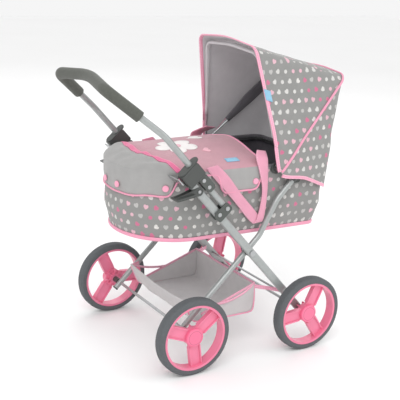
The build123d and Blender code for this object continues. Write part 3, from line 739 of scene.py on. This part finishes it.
def build_hood():
    front, n_front = cloth_between(FRONT_RIB, REAR_RIB, 22, 2.4, 5.0)
    canopy = shell("hood_canopy_cloth", front, front - n_front * CLOTH, [PRINT, LINING])
    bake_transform(canopy)
    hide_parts("hood_canopy")
    back, n_back = cloth_between(REAR_RIB, HEM_RIB, 22, 3.0, 9.0)
    panel = shell("hood_back_cloth", back, back - n_back * CLOTH, [PRINT, LINING])
    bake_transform(panel)
    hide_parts("hood_back_panel")

    def bind(name, edge, towards, normals, wide, body):
        """Binding tape folded over an edge, standing a little past it."""
        past, fold = 0.9, 0.6
        inward = unit(towards - edge)
        centre = edge + inward * (wide / 2 - past) - normals * (CLOTH / 2)
        piece = sweep(name, centre, tape(wide, CLOTH + 2 * fold), BINDING, inward)
        return fixed(piece, body)

    front_trim = [bind("hood_front_binding", front[0], front[1], n_front[0], 7.5, "hood_front")]
    back_trim = [bind("hood_hem_binding", back[-1], back[-2], n_back[-1], 6.5, "rear_frame")]
    seam = (front[-1] + back[0]) / 2 + unit(n_front[-1] + n_back[0]) * 0.6
    piping = sweep("hood_seam_piping", seam, oval(2.0, 2.6, 10), PIPING, unit(n_front[-1] + n_back[0]))
    back_trim.append(fixed(piping, "hood_rear"))
    # The sleeves taper towards the hinge, so the folded bows lie side by side.
    for name, body, angle, y_foot, corner, radius, cloth, wide, taper, ahead in (
        ("front_bow_sleeve", "hood_front", 99.5, 129.2, (88.0, 214.0), 22.0, LINING, 15.0, 0.05, 0.5),
        ("rear_bow_sleeve", "hood_rear", 44.5, 124.6, (84.0, 226.0), 28.0, SLEEVE, 23.0, 0.19, 0.7),
    ):
        bow_foot, start = 5, 58.0
        share = (start - bow_foot) / (corner[1] - bow_foot)
        side = [(-(y_foot + (corner[0] - y_foot) * share), start), (-corner[0], corner[1])]
        flat = eased(over_the_top(side, 6), [radius, 200.0, radius], 12, 8)
        line = in_bow_plane(flat, angle)
        spread = np.clip(taper * flat[:, 1] / wide, 4.8 / wide, 1.0)
        section = [(p + wide * (ahead - 0.5), q) for p, q in tape(wide, 4.4)]
        forward = np.array([-sin(radians(angle)), 0.0, cos(radians(angle))])
        sleeve = sweep(name, line, section, cloth, forward, spread=spread)
        if body == "hood_front":
            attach(sleeve, body)
        else:
            ends = HINGE * MM, (HINGE + forward * 190) * MM
            [tuple(end) for end in ends]
            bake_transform(sleeve)
        (front_trim if body == "hood_front" else back_trim).append(sleeve)
    reach = np.linalg.norm((front[0] - HINGE)[:, [0, 2]], axis=1)
    near = [int(np.argmin(np.abs(reach[:30] - r))) for r in (128, 148)]
    a, b = front[0, near[0]], front[0, near[1]]
    back_a, back_b = [e + unit(front[1, k] - e) * 15.5 for e, k in ((a, near[0]), (b, near[1]))]
    lift = n_front[0, near[0]] * 1.1
    steps = (0.08, -0.3, -0.7, -1.0)
    edges = [(*(a + (a - back_a) * k + lift), *(b + (b - back_b) * k + lift)) for k in steps]
    tag = fixed(ribbon("hood_tab", edges, 0.8, TAG, 3.0), "hood_front")


# ---------------- apron
APRON_R = NOSE_R + 3.0  # the apron's nose goes round the carrycot's
CORE_X = APRON_LOW[0] + APRON_R
CORE_Y = APRON_HIGH[1] - APRON_R


def apron_edge_distance(x, y):
    """How far a point of the plan lies inside the apron's outline."""
    ay = np.abs(y)
    corner = APRON_R - np.hypot(np.minimum(x - CORE_X, 0), np.maximum(ay - CORE_Y, 0))
    straight = np.minimum(APRON_HIGH[1] - ay, x - APRON_LOW[0])
    return np.maximum(np.where((x < CORE_X) & (ay > CORE_Y), corner, straight), 0)


def apron_top(x, y):
    """Height of the apron's top: flat and plump at the foot, a slack ridge at the hood's end."""
    ay = np.abs(y)
    foot = 391.5 - 15.0 * (ay / 121) ** 4 - 0.3 * np.maximum(-148 - x, 0)
    ridge = 404.0 - 0.24 * (np.hypot(y, 24) - 24)
    t = step_between(x, -125, 45)
    crown = foot * (1 - t) + ridge * t - 3.0 * np.exp(-((x - band_x(y)) / 8) ** 2)
    d = np.clip(apron_edge_distance(x, y) / 22.0, 0, 1)
    shoulder = np.sqrt(np.maximum(1 - (1 - d) ** 2, 0))
    return APRON_RIM + (crown - APRON_RIM) * shoulder


def band_x(y):
    """Where the magenta band crosses the apron."""
    return -143.0 + 19.0 * (np.abs(y) / 100) ** 1.4


def skirt_bottom(x):
    """How low the apron's skirt hangs: deep round the nose and at the two side flaps."""
    foot = 329.0 - 6.0 * step_between(-x, 165, 195) + 37.0 * step_between(x, -137, -126)
    flap = 366.0 - 37.0 * step_between(x, -46, -26) + 28.0 * step_between(x, 44, 61)
    return np.where(x < -90, foot, flap)


def build_apron():
    low_x, high_x, half = APRON_LOW[0], APRON_HIGH[0], APRON_HIGH[1]
    turns = np.radians(np.linspace(0, 90, 22))
    xs = np.concatenate([CORE_X - APRON_R * np.cos(turns), np.linspace(CORE_X, high_x, 34)[1:]])
    widths = np.where(xs < CORE_X, CORE_Y + np.sqrt(np.maximum(APRON_R ** 2 - (xs - CORE_X) ** 2, 0)), half)
    ys = np.linspace(-1, 1, 43)
    ys = np.sin(ys * np.pi / 2) * 0.35 + ys * 0.65
    x, y = np.meshgrid(xs, ys, indexing="ij")
    y = y * widths[:, None]
    top = np.stack([x, y, apron_top(x, y)], axis=-1)
    n = normals_of(top, away_from=(0, 0, 0))
    away = step_between(apron_edge_distance(x, y), 3, 30)[..., None]
    foot = step_between(x, -118, -135)[..., None]
    top = rumple(top, n, 26.0, 6.5, away * foot, 2.0)
    top = rumple(top, n, 60.0, 2.4, away * (1 - foot), 4.0)
    rim = np.concatenate([top[::-1, 0], top[0, 1:-1], top[:, -1]])
    bottom = skirt_bottom(rim[:, 0])
    levels = np.linspace(0, 1, 9)[:, None]
    drop = rim[None].repeat(9, axis=0)
    drop[..., 2] = rim[:, 2] + (bottom - rim[:, 2]) * levels
    centre = np.array([(low_x + high_x) / 2, 0.0, 350.0])
    out = unit(np.gradient(rim, axis=0)[:, [1, 0, 2]] * np.array([-1.0, 1.0, 0.0]))
    out[:, 2] = 0
    if np.sum(out * (rim - centre)) < 0:
        out = -out
    tuck = 3.0 * levels[..., None] ** 1.5 * step_between(-rim[:, :1], 120, 150)[None]
    loose = levels[..., None] ** 0.5
    drop = rumple(drop - out[None] * tuck, out[None].repeat(9, axis=0), 24.0, 1.6, loose, 7.0)
    rows, cols = top.shape[:2]
    points, faces, uvs, slots = [], [], [], []

    def add_grid(outer, inner, slot_of):
        start = sum(len(p) for p in points)
        r, c = outer.shape[:2]
        points.append(outer.reshape(-1, 3))
        points.append(inner.reshape(-1, 3))
        here = np.concatenate([outer.reshape(-1, 3), inner.reshape(-1, 3)])

        def add(face, slot):
            faces.append([start + k for k in face])
            p = here[face]
            uvs.append(box_uv(p, unit(np.cross(p[1] - p[0], p[2] - p[0]))))
            slots.append(slot)

        for layer in (0, r * c):
            for i in range(r - 1):
                for j in range(c - 1):
                    face = cell(i, j, c, layer)
                    add(face, slot_of(here[face].mean(axis=0)) if layer == 0 else 0)
        return r, c, add

    def close_end(slot):
        for j in range(c - 1):
            a = (r - 1) * c + j
            add([a, a + 1, r * c + a + 1, r * c + a], slot)

    thick = 4.0
    inner_top = top - n * thick
    inner_top[..., 2] = np.maximum(inner_top[..., 2], APRON_RIM - 1.2)
    inset = 2.4
    inner_drop = drop - out[None] * inset
    inner_top[::-1, 0] = inner_drop[0, :rows]
    inner_top[0, 1:-1] = inner_drop[0, rows:rows + cols - 2]
    inner_top[:, -1] = inner_drop[0, rows + cols - 2:]
    r, c, add = add_grid(top, inner_top, lambda p: 1 if p[0] > band_x(p[1]) else 0)
    close_end(1)
    r, c, add = add_grid(drop, inner_drop, lambda p: 0)
    close_end(0)
    for j in (0, c - 1):
        for i in range(r - 1):
            a, b = i * c + j, (i + 1) * c + j
            add([a, b, r * c + b, r * c + a], 0)
    apron = new_piece("apron_cover", np.concatenate(points), faces, uvs, [GREY, ROSE], slots, weld=0.05)

    def held(p):
        at_edge = float(apron_edge_distance(p[0], p[1])) < 4 or p[0] > high_x - 7
        at_band = abs(p[0] - band_x(p[1])) < 6
        inside = p[2] < apron_top(p[0], p[1]) - 2.4
        return p[2] < APRON_RIM + 2 or at_edge or at_band or inside

    def ease(p):
        from_edge = step_between(apron_edge_distance(p[0], p[1]), 3, 26)
        return float(from_edge * step_between(p[2], APRON_RIM + 2, APRON_RIM + 9))

    settle(apron, held, 5.0, 6.0, ease)
    fixed(apron, "rear_frame")
    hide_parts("apron")
    lower = drop[-1]
    lower = np.concatenate([drop[1:8, 0], lower, drop[7:0:-1, -1]])
    end = top[-1] + np.array([0.6, 0, -thick / 2])
    for name, line, profile in (
        ("apron_edge_binding", smooth_line(lower[::2], 4.0), oval(1.7, 2.6, 10)),
        ("apron_end_binding", end, oval(3.0, 3.4, 12)),
    ):
        fixed(sweep(name, line, profile, PIPING, (0, 0, 1)), "rear_frame")
    y = np.linspace(-half + 3, half - 3, 60)
    xb = band_x(y)
    inside = apron_edge_distance(xb, y) > 1.5
    edges = []
    for shift in (-6.0, 6.0):
        line = np.column_stack([xb + shift, y, apron_top(xb, y)])[inside]
        edges.append(laid_on(apron, line, 0.7))
    fixed(ribbon("apron_band", np.hstack(edges), 1.4, MAGENTA, 3.0), "rear_frame")
    tab = [(xx, yy, 380.0) for yy in (-94.0, -98.0, -102.0, -106.0) for xx in (-13.0, 15.0)]
    tab = laid_on(apron, tab, 1.0).reshape(4, 6)
    fixed(ribbon("apron_tab", tab, 0.8, TAG, 2.0), "rear_frame")
    return apron


def patch_on_apron(name, apron, edge, material, lift):
    """A cut-out piece of cloth that lies on the apron's top."""
    centre = edge.mean(axis=0)
    rings = [centre + (edge - centre) * k for k in (1.0, 0.86, 0.7, 0.5, 0.3, 0.1)]
    grid = np.array([np.column_stack([r, np.zeros(len(r))]) for r in rings])
    grid = laid_on(apron, grid, lift)
    piece = shell(name, grid, grid - np.array([0, 0, 0.8]), [material], wrap=True, cap=True)
    fixed(piece, "rear_frame")


def build_applique(apron):
    """A plain flower and two hearts, in place of the real cover's picture."""
    turn = np.linspace(0, 2 * np.pi, 90, endpoint=False)
    petals = 25.0 + 17.0 * np.abs(np.sin(2.5 * turn)) ** 0.7
    flower = np.column_stack([petals * np.cos(turn) - 70.0, petals * np.sin(turn) - 12.0])
    patch_on_apron("applique_flower", apron, flower, WHITE, 1.0)
    eye = np.column_stack([10 * np.cos(turn) - 70.0, 10 * np.sin(turn) - 12.0])
    patch_on_apron("applique_centre", apron, eye, BLUSH, 1.9)
    x = 13 * np.cos(turn) - 5 * np.cos(2 * turn) - 2 * np.cos(3 * turn) - np.cos(4 * turn)
    heart = np.column_stack([x, 16 * np.sin(turn) ** 3])
    patch_on_apron("applique_heart_large", apron, heart * 1.05 + np.array([-6.0, 26.0]), WHITE, 1.0)
    patch_on_apron("applique_heart_small", apron, heart * 0.55 + np.array([-26.0, -52.0]), BLUSH, 1.0)


# ---------------- straps and basket
def build_straps():
    """Carry straps: webbing down the cot's side, folded at the bottom and up to a loose loop."""
    y = COT_HALF + 3.9
    left = [  # x and z of one edge, x and z of the other, and how far out each lies
        (-70, 380, -45, 384, 0.2, 0.2), (-64, 373, -39, 379, 0.3, 0.3), (-42, 350, -18, 359, 0.4, 0.4),
        (-4, 311, 14, 321, 0.4, 0.4), (28, 275, 47, 286, 0.4, 0.4), (41, 263, 61, 268, 0.9, 0.9),
        (44, 262, 64, 264, 2.0, 2.0), (50, 272, 67, 275, 2.8, 2.6), (56, 300, 70, 301, 3.2, 1.6),
        (57, 330, 71, 329, 3.6, 1.0), (50, 358, 70, 357, 3.0, 0.8), (42, 384, 67, 383, 0.6, 1.0),
        (43, 393, 68, 391, -5.0, -4.0), (52, 401, 71, 398, -16.0, -14.0),
    ]
    edges = np.array([(a, y + e, b, c, y + f, d) for a, b, c, d, e, f in left], float)
    # The left strap's top rows lean further inwards and towards the hood.
    flop = np.zeros_like(edges)
    flop[-3:] = [(3, -1, 0, 6, -1, 0), (10, -7, 2, 15, -6, 1), (14, -11, 4, 20, -10, 2)]
    for name, sign, lean in (("left", 1.0, 1.0), ("right", -1.0, 0.0)):
        shape = (edges + flop * lean) * [1, sign, 1, 1, sign, 1]
        strap = ribbon(f"carry_strap_cloth_{name}", shape, 1.5, WEBBING)
        fixed(strap, "rear_frame")
        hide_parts(f"carry_strap_{name}")


def build_basket():
    """Cloth sling with a low sagging floor, a front panel and side gussets that rise to the front."""
    low, high, half = BASKET_LOW, BASKET_HIGH, BASKET_HIGH[1] - 1
    floor = BASKET_LOW[2]
    front_x, front_z = high[0] - 3, high[2] + 1
    profile = smooth_line([
        (low[0] + 1, 119), (low[0] + 9, 98), (low[0] + 20, 78), (low[0] + 34, floor + 3),
        (low[0] + 70, floor + 1), (0, floor + 1), (40, floor + 1), (high[0] - 11, floor + 1.5),
        (high[0] - 3, floor + 6),
        (high[0] - 1, 96), (front_x, front_z),
    ], 6.0)
    ys = np.linspace(-half, half, 37)
    grid = np.array([[(x, y, z) for y in ys] for x, z in profile])
    n = normals_of(grid, away_from=(0, 0, 160.0))
    span = 1 - (grid[..., 1:2] / half) ** 2
    lengths = run_lengths(profile) / run_lengths(profile)[-1]
    ends = (4 * lengths * (1 - lengths))[:, None, None]
    grid = rumple(grid, n, 40.0, 6.0, span * ends + 0.12, 6.0)
    grid[..., 2] = np.maximum(grid[..., 2], floor + 0.5)
    slack = np.where(profile[:, 0] < 0, step_between(profile[:, 1], 76, 119), 0)[:, None] * span[..., 0]
    grid[..., 2] -= 13 * slack
    grid[..., 0] += 9 * slack
    cloth = shell("basket_cloth_sling", grid, grid - n * CLOTH, [NET])
    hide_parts("basket")
    pieces = [(cloth, "print_fabric")]
    side = profile[(profile[:, 0] > -55) & (profile[:, 1] < 119)]
    side = np.concatenate([side, profile[-1:]])
    for name, sign in (("left", 1.0), ("right", -1.0)):
        y = half * sign
        t = np.linspace(0, 1, len(side))
        x_top = side[0, 0] + (front_x - side[0, 0]) * t
        z_top = floor + 17 + (front_z - floor - 17) * t
        rows = []
        for k in np.linspace(0, 1, 9):
            x = side[:, 0] * (1 - k) + x_top * k
            z = side[:, 1] * (1 - k) + z_top * k
            rows.append(np.column_stack([x - 0.8 * (1 - k), np.full(len(side), y), z]))
        rows = np.array(rows)
        out = np.zeros_like(rows)
        out[..., 1] = sign
        middle = np.linspace(0, 1, 9)[:, None, None]
        rows = rumple(rows, out, 30.0, 4.0, 4 * middle * (1 - middle), 8.0)
        gusset = shell(f"basket_gusset_{name}", rows, rows - out * CLOTH, [NET])
        binding = sweep(f"basket_gusset_binding_{name}", rows[-1], tape(4.6, 2.6), EDGING, (0, 0, 1.0))
        edge = np.array([(p[0], y, p[1]) for p in profile])
        seam = sweep(f"basket_side_binding_{name}", edge, oval(1.3, 1.6, 8), PIPING, (0, 1.0, 0))
        cord = smooth_line([(low[0] + 2, y, 118), (-52, y * 1.012, 107), (-5, y * 1.02, 103),
                            (35, y * 1.012, 112), (front_x, y, front_z - 2)], 5.0)
        cord = sweep(f"basket_side_cord_{name}", cord, tape(4.6, 1.4), EDGING, (0, 0, 1.0))
        if sign > 0:
            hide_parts("basket_side_straps")
        pieces += [(gusset, "print_fabric")] + [(p, "pink_webbing") for p in (binding, seam, cord)]
    front = sweep("basket_front_binding", grid[-1], tape(4.6, 2.6), EDGING, (0, 0, 1.0))
    rear = sweep("basket_rear_hem", grid[0], tape(5.0, 2.2), NET, (0, 0, 1.0))
    pieces += [(front, "pink_webbing"), (rear, "print_fabric")]
    for piece, slot in pieces:
        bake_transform(piece)


def build_ties():
    """Webbing tabs from the basket's corners to the legs."""
    y_in = BASKET_HIGH[1] - 1
    for side, sign in (("left", 1), ("right", -1)):
        for end, points in (
            ("front", [(BASKET_HIGH[0] - 4, y_in, 125), (90, 122, 122), (110, 136.6, 120)]),
            ("rear", [(BASKET_LOW[0] + 2, y_in, 116), (-76, 116, 116), (-67, 121.0, 115)]),
        ):
            line = smooth_line([(x, sign * y, z) for x, y, z in points], 3.0)
            tie = sweep(f"basket_tie_{end}_{side}", line, tape(8.0, 1.5), BINDING, (0, 0, 1.0))
            fixed(tie, f"{end}_frame")
    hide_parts("basket_ties")


# ---------------- materials on the CAD parts
def paint(material, *nodes):
    for name in nodes:
        mesh = frame["nodes"][name].data
        mesh.materials.clear()
        mesh.materials.append(material)


def both(stem):
    return f"{stem}_left", f"{stem}_right"


def paint_cad():
    paint(enamel("silver_enamel", "#A6AAA9"), *both("front_leg"), *both("rear_leg"), "handle_tube")
    paint(
        steel("zinc_steel"), "front_axle", "rear_axle", "scissor_rivets", "front_brace",
        "bracket_rivets", "handle_pivots", "plate_rivets", "lever_pins", "cot_hangers", "cot_rim",
        "hood_front_bow", "hood_rear_bow",
    )
    paint(plastic("bracket_black", "#4E524F", 0.45), "handle_brackets", "lock_plates")
    paint(
        plastic("lock_black", "#474A48", 0.4), *both("lock_collar"), *both("collar_flange"),
        *both("release_lever"), "cot_sockets", "hood_hinges", "front_leg_plugs", "rear_leg_plugs",
        "scissor_washers", "front_spacers", "rear_spacers", "front_axle_clips", "rear_axle_clips",
    )
    paint(foam("grip_foam_skin", "#555751"), "foam_grip")
    paint(plastic("button_pink_shell", "#F2A3BD", 0.3, coat=0.2), "apron_buttons")
    paint(fabric("floor_board_cloth", "#4A464B"), "cot_floor")
    shell_pink = plastic("wheel_pink_shell", "#E97F9E", 0.36, coat=0.25)
    for where in ("front_left", "front_right", "rear_left", "rear_right"):
        spin = joint_place(f"wheel_{where}_spin")
        paint(tyre(f"tyre_rubber_{where}", "#5C5F62", spin), f"tyre_{where}")
        paint(shell_pink, f"wheel_{where}")
        paint(hub_cap(f"cap_pink_{where}", "#E87093", spin), f"hub_cap_{where}")


# ---------------- stage, light and camera
def build_stage():
    mesh = bpy.data.meshes.new("floor")
    size = 6.0
    corners_at = [(-size, -size, 0), (size, -size, 0), (size, size, 0), (-size, size, 0)]
    mesh.from_pydata(corners_at, [], [(0, 1, 2, 3)])
    floor = placed("floor", mesh)
    n = Nodes("pale_floor", roughness=0.6)
    n.colour(n.mix(n.noise(n.place("Object"), 2.0), linear("#FAFAFA"), linear("#FFFFFF")))
    mesh.materials.append(n.material)
    world = bpy.data.worlds.new("studio")
    bpy.context.scene.world = world
    world.use_nodes = True
    world.node_tree.nodes["Background"].inputs[0].default_value = (1.0, 1.0, 1.0, 1.0)
    world.node_tree.nodes["Background"].inputs[1].default_value = 0.92
    for name, place, size, power in (
        ("key", (-1.3, -1.5, 2.3), 1.6, 26.0),
        ("fill", (1.8, -1.6, 1.5), 2.0, 10.0),
        ("back", (0.8, 2.2, 2.0), 2.0, 12.0),
    ):
        data = bpy.data.lights.new(name, "AREA")
        data.size, data.energy = size, power
        lamp = placed(name, data)
        lamp.location = place
        lamp.rotation_euler = (Vector((0, 0, 0.3)) - Vector(place)).to_track_quat("-Z", "Y").to_euler()


def build_camera():
    """From the right and behind the handle, a little above, with a slight roll."""
    azimuth, height, roll = radians(-32.67), radians(16.36), radians(3.21)
    away, target = 1.8371, Vector((-0.0006, 0.0, 0.2790))
    back = Vector((sin(azimuth) * cos(height), -cos(azimuth) * cos(height), sin(height)))
    level = Vector((cos(azimuth), sin(azimuth), 0.0))
    up = back.cross(level)
    across = level * cos(roll) + up * sin(roll)
    up = up * cos(roll) - level * sin(roll)
    data = bpy.data.cameras.new("camera")
    data.lens, data.sensor_width = 83.44, 36.0
    camera = placed("camera", data)
    place = target + back * away
    camera.matrix_world = Matrix([
        [across.x, up.x, back.x, place.x], [across.y, up.y, back.y, place.y],
        [across.z, up.z, back.z, place.z], [0, 0, 0, 1],
    ])
    bpy.context.scene.camera = camera


build_camera()
build_stage()
bpy.context.scene.view_settings.view_transform = "Standard"
paint_cad()
build_cot()
build_mattress()
build_hood()
build_applique(build_apron())
build_straps()
build_basket()
build_ties()
